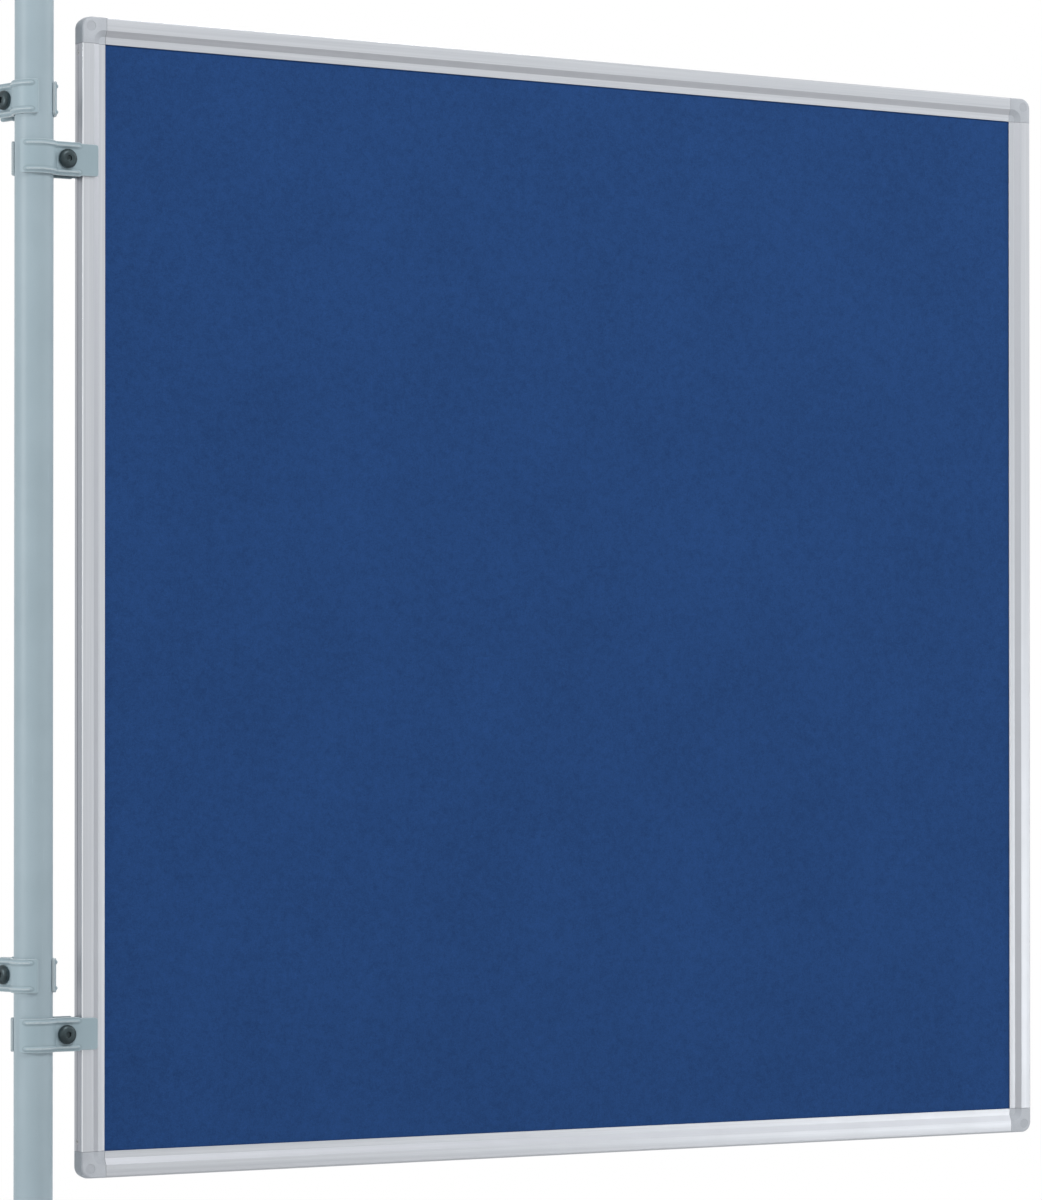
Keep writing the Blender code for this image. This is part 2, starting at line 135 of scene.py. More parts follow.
def linear(red, green, blue):
    """A colour as a paint chart gives it, 0 to 255 a channel, in the renderer's own scale."""
    shares = [channel / 255 for channel in (red, green, blue)]
    scaled = [s / 12.92 if s <= 0.04045 else ((s + 0.055) / 1.055) ** 2.4 for s in shares]
    return (*scaled, 1.0)


def linked(name, data):
    """A new object of that data, in the scene."""
    made = bpy.data.objects.new(name, data)
    scene.collection.objects.link(made)
    return made


def add_lamp(name, place, aim, width, height, power):
    """A soft box of that width and height that looks at a point."""
    lamp = bpy.data.lights.new(name, "AREA")
    lamp.shape = "RECTANGLE"
    lamp.size, lamp.size_y = width, height
    lamp.energy = power
    ray = np.subtract(aim, place)
    flat = sqrt(ray[0] ** 2 + ray[1] ** 2)
    stand = linked(name, lamp)
    stand.location = place
    stand.rotation_euler = (pi / 2 + np.arctan2(ray[2], flat), 0, np.arctan2(-ray[0], ray[1]))


camera = linked("camera", bpy.data.cameras.new("camera"))
scene.camera = camera
camera.location = (-1.8308, -4.2559, 0.983)
camera.rotation_euler = (radians(90.495), 0, radians(-29.474))
camera.data.sensor_width = 36
camera.data.lens = 134.67
camera.data.shift_y = 0.1

scene.view_settings.view_transform = "Standard"

add_lamp("key_soft_box", (0.2, -3.3, 4.5), (0.6, 0, 1.2), 1.6, 1.2, 86)
add_lamp("right_soft_box", (4.6, -1.5, 3.6), (0.8, 0, 1.2), 1.6, 1.2, 50)
add_lamp("left_soft_box", (-4.2, -0.2, 1.8), (0, 0, 1.2), 1.6, 1.6, 74)
add_lamp("low_soft_box", (4.2, -4.2, 0.5), (1.2, 0, 0.7), 1.2, 0.6, 15)
add_lamp("back_soft_box", (1.8, 2.9, 4.4), (0.6, 0, 1.1), 1.6, 1.2, 54)

# The surroundings look white, and light the board by a share of that.
ROOM_LIGHT = 0.34
world = bpy.data.worlds.new("white_room")
scene.world = world
world.use_nodes = True
backdrop = world.node_tree.nodes["Background"].inputs
backdrop["Color"].default_value = (1, 1, 1, 1)
strength = Shade(world.node_tree).looked_at() * (1 - ROOM_LIGHT) + ROOM_LIGHT
world.node_tree.links.new(strength.socket, backdrop["Strength"])

# The floor takes the shadow near the board and turns into plain white further off.
FLOOR_HALF = 40.0
FADE_START = 1.6
FADE_END = 5.0
floor_mesh = bpy.data.meshes.new("floor")
ground = FLOOR_HALF * np.array([(-1, -1, 0), (1, -1, 0), (1, 1, 0), (-1, 1, 0)])
floor_mesh.from_pydata(ground, [], [(0, 1, 2, 3)])
floor = linked("floor", floor_mesh)
floor_paint = bpy.data.materials.new("floor_white")
floor_mesh.materials.append(floor_paint)
floor_paint.use_nodes = True
sheet = Shade(floor_paint.node_tree)
spot = sheet.node("ShaderNodeTexCoord", {}, {}, "Object")
far = sheet.node("ShaderNodeVectorMath", {"operation": "LENGTH"}, {0: spot}, "Value")
far = far.rising(FADE_START, FADE_END)
matt = sheet.node("ShaderNodeBsdfDiffuse", {}, {"Color": (0.8, 0.8, 0.8, 1)})
white = sheet.node("ShaderNodeEmission", {}, {"Color": (1, 1, 1, 1), "Strength": 1.0})
blend = sheet.node("ShaderNodeMixShader", {}, {0: sheet.looked_at() * far, 1: matt, 2: white})
surface = floor_paint.node_tree.nodes["Material Output"].inputs["Surface"]
floor_paint.node_tree.links.new(blend.socket, surface)


# Pole
# A round steel tube, 40 mm thick with a 1.5 mm wall, powder-painted light blue-grey. A push-in
# plug of dark plastic closes each end: a flat one to stand on, a slightly domed one on top.


def grid_faces(rows, columns, rows_close=False, columns_close=False):
    """The quads of a grid of points given row after row, as indices of their corners."""
    i = np.arange(rows if rows_close else rows - 1)[:, None]
    j = np.arange(columns if columns_close else columns - 1)[None, :]
    row, next_row = i * columns, (i + 1) % rows * columns
    after = (j + 1) % columns
    corners = np.broadcast_arrays(row + j, row + after, next_row + after, next_row + j)
    return np.stack(corners, -1).reshape(-1, 4)


def turned_faces(points, ring=False):
    """The quads of points turned about an axis. A ring's profile closes on itself."""
    rows, columns = points.shape[:2]
    return grid_faces(rows, columns, ring, True)


def keep_marks(mesh, **marks):
    """Keeps numbers at a mesh's points, for its finish to read."""
    for name, values in marks.items():
        kept = mesh.attributes.new(name, "FLOAT", "POINT")
        kept.data.foreach_set("value", np.ravel(values).astype(np.float32))


def shaped(name, points, faces, finish, crease=30, **marks):
    """A smooth closed piece of points and faces, sharp where it bends by more than the crease.

    Points that meet are welded. The marks are kept at the points.
    """
    mesh = bpy.data.meshes.new(name)
    mesh.from_pydata(np.reshape(points, (-1, 3)), [], [list(face) for face in faces])
    keep_marks(mesh, **marks)
    bm = bmesh.new()
    bm.from_mesh(mesh)
    bmesh.ops.remove_doubles(bm, verts=bm.verts, dist=2e-6)
    bmesh.ops.dissolve_degenerate(bm, edges=bm.edges, dist=1e-7)
    bmesh.ops.recalc_face_normals(bm, faces=bm.faces)
    bm.to_mesh(mesh)
    bm.free()
    mesh.shade_smooth()
    mesh.set_sharp_from_angle(angle=radians(crease))
    mesh.materials.append(finish)
    return linked(name, mesh)


def polar(radius, angle, height):
    """Points about Z: radius times the angle's cosine, radius times its sine, and height."""
    return np.stack([radius * np.cos(angle), radius * np.sin(angle), height + 0 * angle], -1)


def turned(profile, sides):
    """Points of a (radius, height) profile turned about Z."""
    radius, height = np.asarray(profile).T[..., None]
    return polar(radius, np.linspace(0, 2 * pi, sides, endpoint=False), height)


def rounded(centre, radii, start, end, steps):
    """Points of an arc about centre, between two angles in degrees. Two radii make an ellipse."""
    angle = np.radians(np.linspace(start, end, steps + 1))
    return centre + radii * np.stack([np.cos(angle), np.sin(angle)], -1)


def new_finish(name, constants):
    """A material, with the values that are even all over it on its shader's own sockets."""
    made = bpy.data.materials.new(name)
    made.use_nodes = True
    shader = made.node_tree.nodes["Principled BSDF"]
    for socket, value in constants.items():
        shader.inputs[socket].default_value = value
    sheet = Shade(made.node_tree)
    return made, sheet, sheet.node("ShaderNodeTexCoord", {}, {}, "Object")


def feed(made, **shades):
    """Links shades to the shader's sockets, named with _ for each space."""
    shader = made.node_tree.nodes["Principled BSDF"]
    for name, shade in shades.items():
        made.node_tree.links.new(shade.socket, shader.inputs[name.replace("_", " ")])


def raised(sheet, height, strength, depth):
    """The bump of a height from 0 to 1 that stands for so many metres."""
    sockets = {"Height": height, "Strength": strength, "Distance": depth}
    return sheet.node("ShaderNodeBump", {}, sockets)


def toned(colour, share=1.0, more=0, most=255):
    """A paint chart's colour times a share, with some more added, in the renderer's scale."""
    return linear(*[min(channel * share + more, most) for channel in colour])


def painted(name, colour, worn=0):
    """Powder paint: a fine orange peel, cloudy in tone, with dust specks and a few rub marks.

    Where a piece marks its edges, the paint there is lighter by the worn share: partly thinner
    paint, partly a painted highlight. A painted shade lies along the lines that it marks as feet.
    """
    constants = {"Specular IOR Level": 0.4, "Coat Weight": 0.08, "Coat Roughness": 0.28}
    made, sheet, place = new_finish(name, constants)
    peel = place.grains(620, 2.0, 0.55)
    clouds = place.grains(9, 3.0, 0.6)
    specks = place.grains(1500, 1.0).rising(0.70, 0.78)
    rubs = place.stretched((240, 240, 14)).grains(1.0, 4.0, 0.62).rising(0.62, 0.80)
    tone = clouds.rising(0.3, 0.7).between(toned(colour, more=-3), toned(colour, more=4))
    tone = (specks * 0.35).between(tone, toned(colour, 0.72))
    tone = (rubs * 0.22).between(tone, toned(colour, more=34))
    if worn:
        edge, foot = sheet.marked("edge"), sheet.marked("foot")
        # Lighter paint on marked edges and bead crests: partly thinner paint, partly a painted
        # highlight.
        thin_paint_and_highlight = (edge + (place.grains(420, 3.0, 0.7) - 0.5) * 0.4).rising(0.48, 0.95)
        tone = (thin_paint_and_highlight * worn).between(tone, linear(214, 220, 222))
        # Darker paint along the marked bead feet: painted shade.
        tone = (foot * (0.2 + clouds * 0.3)).between(tone, toned(colour, 0.66))
    feed(made, Base_Color=tone, Roughness=0.44 + clouds * 0.1 - rubs * 0.06 + specks * 0.15)
    feed(made, Normal=raised(sheet, peel + rubs * 0.3, 0.22, 0.00006))
    return made


def moulded(name, colour, grain, dulled=0):
    """Matt moulded plastic with the fine even grain of an eroded mould, so many to a metre.

    Where a piece marks its sunk discs and its bevels, the plastic is darker by that share; on
    the bevels this is a painted shade.
    """
    made, sheet, place = new_finish(name, {"Specular IOR Level": 0.35})
    pits = place.grains(grain, 2.0, 0.6)
    flow = place.grains(38, 3.0, 0.55)
    tone = (flow * 0.55 + pits * 0.45).rising(0.33, 0.68)
    tone = tone.between(toned(colour, more=-9), toned(colour, more=7))
    scuffs = place.stretched((130, 60, 90)).grains(1.0, 4.0, 0.68, 0.5).rising(0.66, 0.82)
    tone = (scuffs * 0.3).between(tone, toned(colour, more=40))
    if dulled:
        dull = sheet.marked("dull") * (0.7 + pits * 0.6) * dulled
        tone = dull.between(tone, toned(colour, more=-40))
    feed(made, Base_Color=tone, Roughness=0.50 + pits * 0.16 - scuffs * 0.08)
    feed(made, Normal=raised(sheet, pits, 0.35, 0.00005))
    return made


POLE_HEIGHT = 1.8
POLE_RADIUS = 0.020
POLE_WALL = 0.0015
POLE_CHAMFER = 0.0004
POLE_SIDES = 144
POLE_ROWS = 40
END_FLANGE = 0.003
END_CROWN = 0.0025
FIT = 0.0003
PLUG_FLOOR = END_FLANGE + 0.0008
PLUG_REACH = END_FLANGE + 0.025
PLUG_WALL = 0.002
PLUG_TAPER = 0.0018
PLUG_SIDES = 96
RIB_FIRST = END_FLANGE + 0.004
RIB_LAST = PLUG_REACH - 0.005
RIB_COUNT = 4
RIB_HEIGHT = 0.0009
RIB_HALF = 0.0007
FOOT_ROUND = 0.0006

inside = POLE_RADIUS - POLE_WALL
low, high = END_FLANGE + FIT, POLE_HEIGHT - END_CROWN - END_FLANGE - FIT
levels = np.linspace(low + POLE_CHAMFER, high - POLE_CHAMFER, POLE_ROWS)
tube = [(POLE_RADIUS - POLE_CHAMFER, low), *[(POLE_RADIUS, level) for level in levels]]
tube += [(POLE_RADIUS - POLE_CHAMFER, high), (inside + POLE_CHAMFER, high)]
tube += [(inside, levels[-1]), (inside, levels[0]), (inside + POLE_CHAMFER, low)]
points = turned(tube, POLE_SIDES)
pole_paint = painted("pole_powder_paint", (161, 179, 188))
pole_tube = shaped("pole_tube_painted", points, turned_faces(points, True), pole_paint)
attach(pole_tube, "pole")
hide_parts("pole_tube")

# Each plug's spigot is hollow and has four ribs, which grip the tube.
dark_plastic = moulded("dark_end_plastic", (62, 68, 74), 1300)
crest = inside - FIT
valley = crest - RIB_HEIGHT
hollow = crest - PLUG_WALL
ribs = []
for rib in np.linspace(RIB_FIRST, RIB_LAST, RIB_COUNT):
    ribs += [(valley, rib - RIB_HALF), (crest, rib), (valley, rib + RIB_HALF)]
spigot = [(0, PLUG_FLOOR), (hollow, PLUG_FLOOR), (hollow, PLUG_REACH)]
spigot += [(crest - PLUG_TAPER, PLUG_REACH), *ribs[::-1]]
spigot += [(valley, END_FLANGE), (POLE_RADIUS - FIT, END_FLANGE)]

# The foot's underside has a sunk ring and the small mark of the mould's gate.
edge = rounded((POLE_RADIUS - FOOT_ROUND, FOOT_ROUND), FOOT_ROUND, 0, -90, 5)
ring = [(0.0122, 0), (0.0118, 0.0006), (0.0044, 0.0006), (0.0040, 0)]
gate = [(0.0016, 0), (0.0014, 0.0005), (0, 0.0007)]
points = turned([*spigot, *edge, *ring, *gate], PLUG_SIDES)
foot_plug = shaped("pole_foot_plug_moulded", points, turned_faces(points), dark_plastic)
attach(foot_plug, "pole")
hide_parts("pole_foot_plug")

crown = rounded((0, 0), (POLE_RADIUS, -END_CROWN), 0, 90, 14)[:-1]
points = turned([*spigot, *crown, (0, -END_CROWN)], PLUG_SIDES)
points = points * (1, -1, -1) + (0, 0, POLE_HEIGHT - END_CROWN)
top_cap = shaped("pole_top_cap_moulded", points, turned_faces(points), dark_plastic)
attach(top_cap, "pole")
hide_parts("pole_top_cap")


# Frame rails
# Four lengths of drawn aluminium, satin anodised. Each has a flat rim over a hollow chamber, a
# bevel that drops inwards to a thin lip at each face, a slot for the panel between the lips and
# a groove along its outer side. They are sawn square and pushed on the corner pieces' legs.

BOARD_LEFT = 0.049
BOARD_SIDE = 1.2
BOARD_LOW = 0.55
RAIL_HALF = 0.010
RIM = 0.014
BEVEL_END = 0.0205
BEVEL_SHIFT = 0.0001
BEVEL_BEND = 0.0004
LIP_EDGE = 0.028
LIP_FACE = 0.0065
LIP_ROUND = 0.0004
SLOT_HALF = 0.0051
EDGE_ROUND = 0.002
SIDE_BOW = 0.0006
SIDE_DEPTH = 0.0008
GROOVE = 0.0005
CHAMBER_LOW = 0.002
CHAMBER_HIGH = 0.0125
CHAMBER_HALF = 0.0085
RAIL_CREASE = 20
SCREW_PLACES = (0.038, BOARD_SIDE - 0.038)
SCREW_HEAD = 0.0029
SCREW_SHANK = 0.0016
SCREW_SINK = 0.0003
SCREW_CONE = 0.0014
HOLE_DEPTH = 0.010
HOLE_ABOVE = 0.004
HOLE_SIDES = 32

# How far a point has to be past a line, and how near to a face, to count for the finish.
MARGIN = 0.00005
TOUCH = 1e-5


def rail_front(start):
    """The section's front half as (inwards, forwards) points, from the outer side to the slot.

    Small arcs round the outer edge, both ends of the bevel and the lip's tip, and straight lines
    join them.
    """
    lean = np.degrees(np.arctan2(RAIL_HALF - LIP_FACE, BEVEL_END - RIM))
    edge = (SIDE_BOW + EDGE_ROUND, RAIL_HALF - EDGE_ROUND)
    rim = (RIM - BEVEL_SHIFT, RAIL_HALF - BEVEL_BEND)
    foot = (BEVEL_END + BEVEL_SHIFT, LIP_FACE + BEVEL_BEND)
    lip = (LIP_EDGE - LIP_ROUND, LIP_FACE - LIP_ROUND)
    return np.concatenate([
        start,
        rounded(edge, EDGE_ROUND, 180, 90, 8),
        rounded(rim, BEVEL_BEND, 90, 90 - lean, 3),
        rounded(foot, BEVEL_BEND, 270 - lean, 270, 3),
        rounded(lip, LIP_ROUND, 90, 0, 4),
        [(LIP_EDGE, SLOT_HALF), (RIM, SLOT_HALF)],
    ])


def capped(outlines):
    """The triangles between the first outline and those inside it, as indices of their points."""
    rings = [[(*point, 0) for point in outline] for outline in outlines]
    return np.array([tuple(face) for face in tessellate_polygon(rings)])


def drawn(outlines, low, high):
    """Closed outlines, the first round the others, drawn straight from low to high and capped.

    Returns the points as (along, inwards, forwards) and the faces.
    """
    flat = np.concatenate(outlines)
    count = len(flat)
    points = np.concatenate([np.column_stack([np.full(count, end), flat]) for end in (low, high)])
    faces, first = [], 0
    for outline in outlines:
        here = first + np.arange(len(outline))
        after = np.roll(here, -1)
        faces += np.column_stack([here, after, after + count, here + count]).tolist()
        first += len(outline)
    ends = capped(outlines)
    return points, faces + ends.tolist() + (ends[:, ::-1] + count).tolist()


def punched(piece, cutters, crease):
    """The piece's mesh with the cutters taken out of it, sharp again past the crease."""
    for cutter in cutters:
        cut = piece.modifiers.new(cutter.name, "BOOLEAN")
        cut.object, cut.solver = cutter, "EXACT"
    finished = piece.evaluated_get(bpy.context.evaluated_depsgraph_get())
    mesh = bpy.data.meshes.new_from_object(finished)
    for used in (piece, *cutters):
        bpy.data.objects.remove(used)
    mesh.shade_smooth()
    mesh.set_sharp_from_angle(angle=radians(crease))
    return mesh


def points_of(mesh):
    """The mesh's points, one row for each coordinate."""
    flat = np.empty(3 * len(mesh.vertices), np.float32)
    mesh.vertices.foreach_get("co", flat)
    return flat.reshape(-1, 3).T


def copied(name, mesh, place):
    """A piece of its own with a copy of the mesh, moved to its place."""
    made = linked(name, mesh.copy())
    made.data.transform(place)
    return made


def laid(x, z, turn):
    """Where a side lies that starts at x and z, turned by so many degrees about Y."""
    return Matrix.Translation((x, 0, z)) @ Matrix.Rotation(radians(turn), 4, "Y")


def anodised(name, grain, edge_highlight):
    """Satin anodised aluminium: fine drawing lines along the rail, given by the grain's stretch.

    The outer side is darker by a painted shade, and a painted shade greys the bevel. The edge
    share
    is how much the outer edge is lightened: rubbed bright, and a painted highlight.
    """
    made, sheet, place = new_finish(name, {"Metallic": 0.82, "Specular IOR Level": 0.5})
    lines = place.stretched(grain).grains(1.0, 4.0, 0.62)
    broad = place.stretched(tuple(value * 0.22 for value in grain)).grains(1.0, 2.0, 0.5)
    mist = place.grains(26, 4.0, 0.6)
    marks = place.stretched((70, 70, 70)).grains(1.0, 6.0, 0.74, 1.2).rising(0.68, 0.80)
    side, edge, bevel = (sheet.marked(mark) for mark in ("side", "edge", "bevel"))
    tone = (lines * 0.5 + broad * 0.5).rising(0.3, 0.7)
    tone = tone.between(linear(179, 183, 189), linear(195, 198, 203))
    tone = (mist.rising(0.35, 0.75) * 0.25).between(tone, linear(186, 189, 193))
    tone = (marks * 0.3).between(tone, linear(166, 171, 177))
    # The outer side's darker tone is a painted shade.
    side_shade = (lines * 0.6).between(linear(158, 161, 169), linear(186, 189, 196))
    tone = side.rising(0.2, 0.8).between(tone, side_shade)
    # The bevel's grey is a painted shade.
    tone = (bevel * (0.45 + mist * 0.4)).between(tone, linear(170, 172, 178))
    # The lightened outer edge is partly rubbing and partly a painted highlight.
    tone = (edge.rising(0.2, 0.9) * (edge_highlight - lines * 0.3)).between(tone, linear(242, 244, 247))
    rough = 0.27 + lines * 0.14 + mist * 0.06 + marks * 0.1 - edge * 0.08 + bevel * 0.1
    feed(made, Base_Color=tone, Roughness=rough)
    feed(made, Normal=raised(sheet, lines, 0.16, 0.00003))
    return made


half = rail_front([(GROOVE, GROOVE), (0, GROOVE)])
section = np.concatenate([half, half[::-1] * (1, -1)])
chamber = [(CHAMBER_LOW, CHAMBER_HALF), (CHAMBER_HIGH, CHAMBER_HALF)]
chamber += [(CHAMBER_HIGH, -CHAMBER_HALF), (CHAMBER_LOW, -CHAMBER_HALF)]
joint = LIP_EDGE + FIT
points, faces = drawn([section, chamber], joint, BOARD_SIDE - joint)
# The left stile's copy carries a stronger painted highlight on its outer edge.
anodised_level = anodised("anodised_drawn_level", (5, 1400, 1400), 0.3)
anodised_upright = anodised("anodised_drawn_upright", (1400, 1400, 5), 0.3)
anodised_upright_highlit = anodised("anodised_drawn_upright_edge_highlight", (1400, 1400, 5), 1.1)
points = points[:, [0, 2, 1]] * (1, -1, 1)
rail = shaped("rail", points, faces, anodised_level, RAIL_CREASE)
sunk = [(0, HOLE_DEPTH), (SCREW_SHANK + FIT, HOLE_DEPTH), (SCREW_SHANK + FIT, SCREW_CONE)]
sunk += [(SCREW_HEAD + FIT, SCREW_SINK), (SCREW_HEAD + FIT, -HOLE_ABOVE), (0, -HOLE_ABOVE)]
cutter = turned(sunk, HOLE_SIDES)
holes = []
for along in SCREW_PLACES:
    hole = shaped("screw_hole", cutter + (along, 0, 0), turned_faces(cutter), anodised_level)
    holes.append(hole)
rail_mesh = punched(rail, holes, RAIL_CREASE)

# The finish is told the outer side, the two rounded edges beside it and the bevels: it paints
# shade on the side and the bevels, and a highlight on the edges.
_, forwards, depth = points_of(rail_mesh)
forwards = np.abs(forwards)
turn = np.arctan2(forwards - RAIL_HALF + EDGE_ROUND, EDGE_ROUND + SIDE_BOW - depth)
on_edge = (depth < EDGE_ROUND) & (forwards > RAIL_HALF - EDGE_ROUND + TOUCH)
keep_marks(
    rail_mesh,
    side=(depth < SIDE_DEPTH) & (forwards < RAIL_HALF - EDGE_ROUND + TOUCH),
    edge=on_edge * np.clip(np.sin(2 * np.clip(turn, 0, pi / 2)), 0, 1),
    bevel=(depth > RIM + MARGIN) & (depth < BEVEL_END + MARGIN) & (forwards > LIP_FACE),
)

board_right, board_top = BOARD_LEFT + BOARD_SIDE, BOARD_LOW + BOARD_SIDE
sides = [
    ("bottom_rail", "corner_bottom_left", laid(BOARD_LEFT, BOARD_LOW, 0), anodised_level),
    ("right_stile", "corner_bottom_right", laid(board_right, BOARD_LOW, -90), anodised_upright),
    ("top_rail", "corner_top_right", laid(board_right, board_top, 180), anodised_level),
    ("left_stile", "corner_top_left", laid(BOARD_LEFT, board_top, 90), anodised_upright_highlit),
]
for side, _, place, finish in sides:
    rail_piece = copied(f"{side}_drawn", rail_mesh, place)
    rail_piece.data.materials[0] = finish
    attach(rail_piece, "board")
    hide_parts(side)


# Corner pieces
# Light grey moulded nylon, one at each corner. The rail's section turns about the inner corner,
# rounder towards the outside, with a shallow disc sunk in each face of the rim. Two legs push
# into the rails' chambers.

CORNER_ROUND = 0.0115
BEVEL_ROUND = 0.011
BEVEL_BELOW = 0.00003
BEVEL_SHADE = 1.3
SLOT_FLOOR = 0.0162
DISC = 0.0053
DISC_SINK = 0.0003
DISC_PLACE = 0.0105
DISC_SOFT = 0.0001
DISC_ABOVE = 0.002
DISC_SIDES = 64
LEG_LENGTH = 0.024
LEG_ROOT = 0.020
LEG_ROUND = 0.001
LEG_TAPER = 0.003
LEG_TIP = 0.86
LEG_HOLLOW = 0.010
LEG_BORE = 0.6
LEG_CREASE = 25
TURN_STEPS = 60


def corner_shell():
    """The section carried round a quarter turn about the inner corner.

    Each of its points follows a square about that corner, with one round corner whose radius
    grows from the lip out to the side.
    """
    half = rail_front([(0, 0)])
    outline = np.concatenate([half, half[:0:-1] * (1, -1)])
    depth, forwards = outline.T
    in_slot = (depth == RIM) & (np.abs(forwards) == SLOT_HALF)
    depth = np.where(in_slot, SLOT_FLOOR, depth)
    angle = np.linspace(0, pi / 2, TURN_STEPS + 1)[:, None]
    along, across = np.cos(angle), np.sin(angle)
    radii = (CORNER_ROUND, BEVEL_ROUND, BEVEL_ROUND - BEVEL_END + RIM, 0)
    radius = np.where(in_slot, 0, np.interp(depth, (0, RIM, BEVEL_END, LIP_EDGE), radii))
    centre = LIP_EDGE - depth - radius
    straight = (LIP_EDGE - depth) / np.maximum(along, across)
    middle = centre * (along + across)
    bend = middle + np.sqrt(np.maximum(middle**2 - 2 * centre**2 + radius**2, 0))
    far = np.where(straight * np.minimum(along, across) <= centre, straight, bend)
    x, z = LIP_EDGE - far * along, LIP_EDGE - far * across
    points = np.stack([x, np.broadcast_to(-forwards, x.shape), z], -1)
    faces = grid_faces(len(angle), len(outline), False, True).tolist()
    ends = capped([outline])
    faces += ends.tolist() + (ends[:, ::-1] + TURN_STEPS * len(outline)).tolist()
    return points.reshape(-1, 3), faces


def leg_bar():
    """A hollow-ended leg along X, narrowed at its tip, as rings of a rounded rectangle.

    At each station the ring is drawn in towards its middle to a share of its size.
    """
    low, high, half = CHAMBER_LOW + FIT, CHAMBER_HIGH - FIT, CHAMBER_HALF - FIT
    depths = (high - LEG_ROUND, low + LEG_ROUND)
    fronts = (half - LEG_ROUND, LEG_ROUND - half)
    ring = np.concatenate([
        rounded((depths[0], fronts[0]), LEG_ROUND, 90, 0, 3),
        rounded((depths[0], fronts[1]), LEG_ROUND, 0, -90, 3),
        rounded((depths[1], fronts[1]), LEG_ROUND, 270, 180, 3),
        rounded((depths[1], fronts[0]), LEG_ROUND, 180, 90, 3),
    ])
    tip = LIP_EDGE + LEG_LENGTH
    stations = [(LEG_ROOT, 0), (LEG_ROOT, 1), (tip - LEG_TAPER, 1), (tip, LEG_TIP)]
    stations += [(tip, LEG_BORE), (tip - LEG_HOLLOW, LEG_BORE), (tip - LEG_HOLLOW, 0)]
    along, share = np.array(stations).T[..., None]
    middle = ring.mean(0)
    depth, forwards = np.moveaxis(middle + (ring - middle) * share[..., None], -1, 0)
    points = np.stack([along + 0 * depth, forwards, depth], -1)
    return points.reshape(-1, 3), turned_faces(points)


# The last share makes the discs darker and paints shade on the bevels.
corner_nylon = moulded("grey_corner_nylon", (193, 198, 205), 1100, 0.24)
shell = shaped("shell", *corner_shell(), corner_nylon, RAIL_CREASE)
sunk = [(0, -DISC_SINK), (DISC - DISC_SOFT, -DISC_SINK), (DISC, DISC_SOFT - DISC_SINK)]
sunk += [(DISC, DISC_ABOVE), (0, DISC_ABOVE)]
disc = turned(sunk, DISC_SIDES)[..., [0, 2, 1]]
discs = []
for facing in (1, -1):
    cutter = disc * (1, -facing, 1) + (DISC_PLACE, -facing * RAIL_HALF, DISC_PLACE)
    discs.append(shaped("disc", cutter, turned_faces(cutter), corner_nylon))
leg, leg_faces = leg_bar()
points = np.concatenate([leg, leg[:, [2, 1, 0]]])
faces = np.concatenate([leg_faces, leg_faces[:, ::-1] + len(leg)])
legs = shaped("legs", points, faces, corner_nylon, LEG_CREASE)
shell_mesh = punched(shell, discs, RAIL_CREASE)

# The finish is told the discs' floors, which it makes darker, and, more strongly, the bevels,
# where it paints shade.
x, forwards, z = points_of(shell_mesh)
forwards = np.abs(forwards)
on_disc = np.hypot(x - DISC_PLACE, z - DISC_PLACE) < DISC - MARGIN
on_disc &= np.abs(forwards - RAIL_HALF + DISC_SINK) < TOUCH
on_bevel = (np.minimum(x, z) > RIM + MARGIN) & (forwards > LIP_FACE + TOUCH)
on_bevel &= forwards < RAIL_HALF - BEVEL_BELOW
# The bevels' share is a painted shade.
keep_marks(shell_mesh, dull=on_disc + BEVEL_SHADE * on_bevel)
bm = bmesh.new()
bm.from_mesh(shell_mesh)
bm.from_mesh(legs.data)
corner_mesh = bpy.data.meshes.new("corner")
bm.to_mesh(corner_mesh)
bm.free()
bpy.data.objects.remove(legs)
corner_mesh.materials.append(corner_nylon)
for _, corner, place, _ in sides:
    corner_piece = copied(f"{corner}_moulded", corner_mesh, place)
    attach(corner_piece, "board")
    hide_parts(corner)


# Corner screws
# Small zinc-plated countersunk screws with a cross recess. Each goes through the rail's outer
# side into a corner piece's leg, and its head lies just below the side.

SCREW_REACH = 0.008
SCREW_POINT = 0.002
SCREW_SIDES = 64
CROSS_HALF = 0.00058
CROSS_REACH = 0.0019
CROSS_DEPTH = 0.0009
CROSS_TAPER = 0.12
CROSS_FLANK = 0.0002
CROSS_END = 0.0005
FACE_ROUND = 0.0002
FACE_RING = 0.0026
FACE_WEAR = 0.0003


def plated(name, colour, tint, metallic):
    """Plated steel: bright and thinly clouded, darker in its fine pits, worn pale at edges."""
    made, sheet, place = new_finish(name, {"Metallic": metallic, "Specular IOR Level": 0.5})
    clouds = place.grains(160, 3.0, 0.6)
    pits = place.grains(2600, 3.0, 0.65)
    tone = clouds.rising(0.35, 0.65).between(linear(*colour), linear(*tint))
    tone = (pits.rising(0.60, 0.75) * 0.4).between(tone, toned(colour, 0.6))
    edge = sheet.marked("edge")
    worn = (edge + (place.grains(900, 3.0, 0.7) - 0.5) * 0.6).rising(0.55, 1.0)
    tone = (worn * 0.55).between(tone, toned(colour, 1.2, 46, 240))
    feed(made, Base_Color=tone, Roughness=0.28 + clouds * 0.12 + pits * 0.1 - worn * 0.08)
    feed(made, Normal=raised(sheet, pits, 0.2, 0.00003))
    return made


